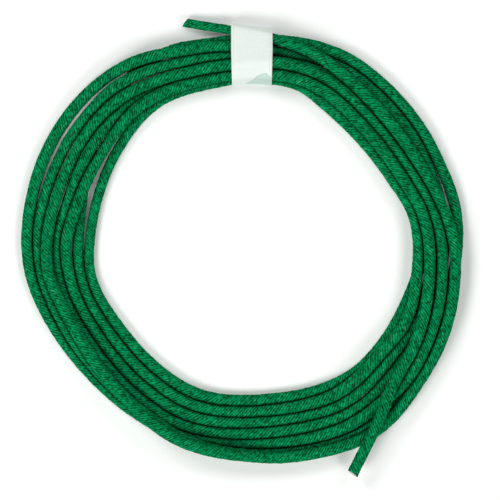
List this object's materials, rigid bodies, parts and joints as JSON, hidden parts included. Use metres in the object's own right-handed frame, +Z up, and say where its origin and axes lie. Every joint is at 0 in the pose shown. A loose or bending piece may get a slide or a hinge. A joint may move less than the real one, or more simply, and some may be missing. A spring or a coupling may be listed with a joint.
{
  "type": "wire coil",
  "caption": "Flat hand-wound coil of green cloth-covered stranded wire with bare cut ends, tied at one place with a lapped band of white paper tape.",
  "frame": {"origin": "the middle of the whole coil's footprint, on the floor that it lies on", "axes": "+Z up out of the floor, along the coil's own axis; +Y towards the paper band; +X to the right, seen from above"},
  "size_m": [0.1062, 0.1108, 0.0061],
  "materials": {
    "green_cotton": "waxed cotton, fine twill lay",
    "pale_insulation": "matte",
    "tinned_copper": "dull tin",
    "white_paper_tape": "matte crepe paper"
  },
  "bodies": {
    "root": {"wound_turns": "green_cotton", "finish_tail": "green_cotton", "start_end_cover": "green_cotton", "start_end_insulation": "pale_insulation", "start_end_strands": "tinned_copper", "finish_end_cover": "green_cotton", "finish_end_insulation": "pale_insulation", "finish_end_strands": "tinned_copper", "paper_band": "white_paper_tape"}
  },
  "joints": []
}
